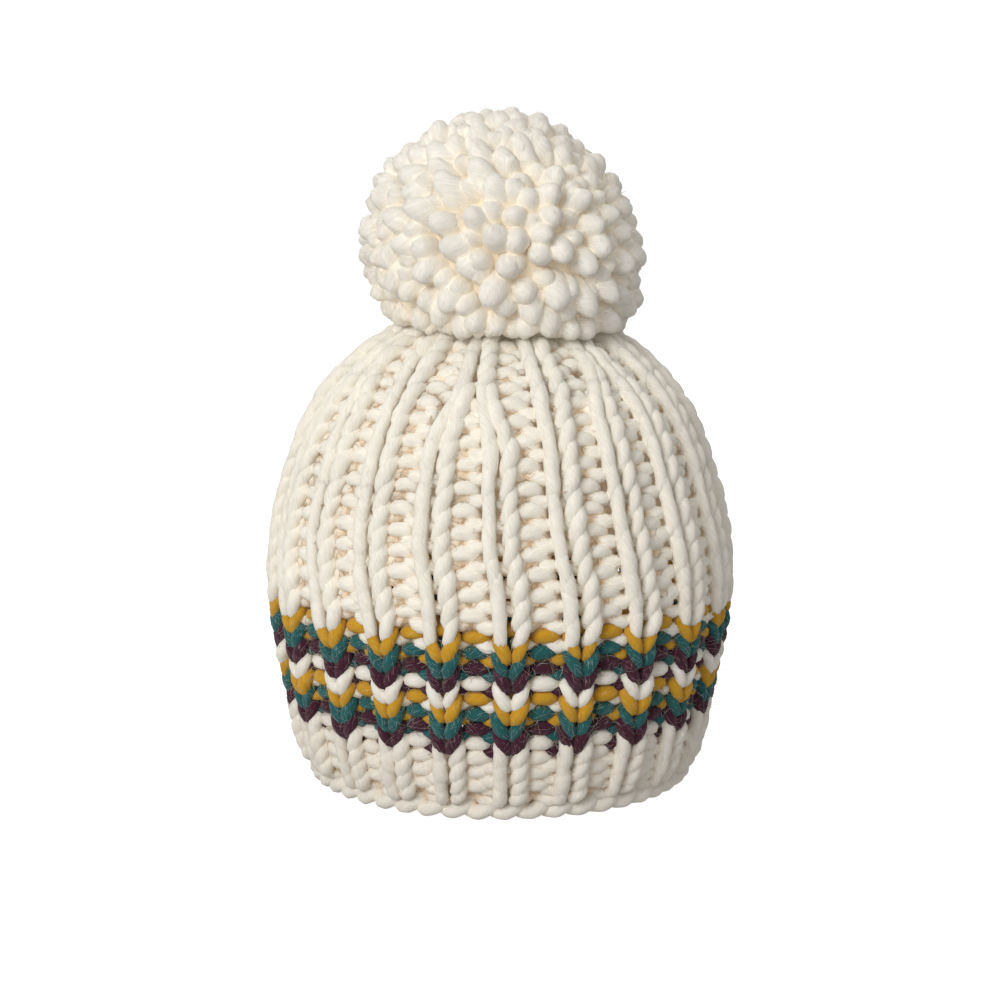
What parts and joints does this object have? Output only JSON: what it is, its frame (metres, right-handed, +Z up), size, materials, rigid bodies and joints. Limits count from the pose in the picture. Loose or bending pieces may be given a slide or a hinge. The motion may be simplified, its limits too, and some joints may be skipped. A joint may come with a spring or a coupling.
{
  "type": "knit toque",
  "caption": "Chunky ribbed knit toque in cream wool with striped band in gold, teal and plum, a gathered crown and a big yarn pompom, standing on its rim.",
  "frame": {"origin": "on the floor at the middle of the rim", "axes": "+Z up through the pompom, -Y towards the front of the hat as pictured, +X towards the right of the picture"},
  "size_m": [0.2057, 0.2057, 0.294],
  "materials": {
    "cream_wool": "matt single-ply wool with a soft halo of fibres",
    "gold_wool": "matt mustard single-ply wool",
    "teal_wool": "matt deep teal single-ply wool",
    "plum_wool": "matt dark plum single-ply wool",
    "pompom_wool": "plump cut strands of matt cream wool"
  },
  "bodies": {
    "root": {"cast_on_edge": "cream_wool", "hem": "cream_wool", "plum_lower_stripe": "plum_wool", "teal_lower_stripe": "teal_wool", "gold_lower_stripe": "gold_wool", "cream_middle_stripe": "cream_wool", "plum_upper_stripe": "plum_wool", "teal_upper_stripe": "teal_wool", "gold_upper_stripe": "gold_wool", "body": "cream_wool", "crown": "cream_wool", "pompom": "pompom_wool", "pompom_tie": "cream_wool"}
  },
  "joints": []
}
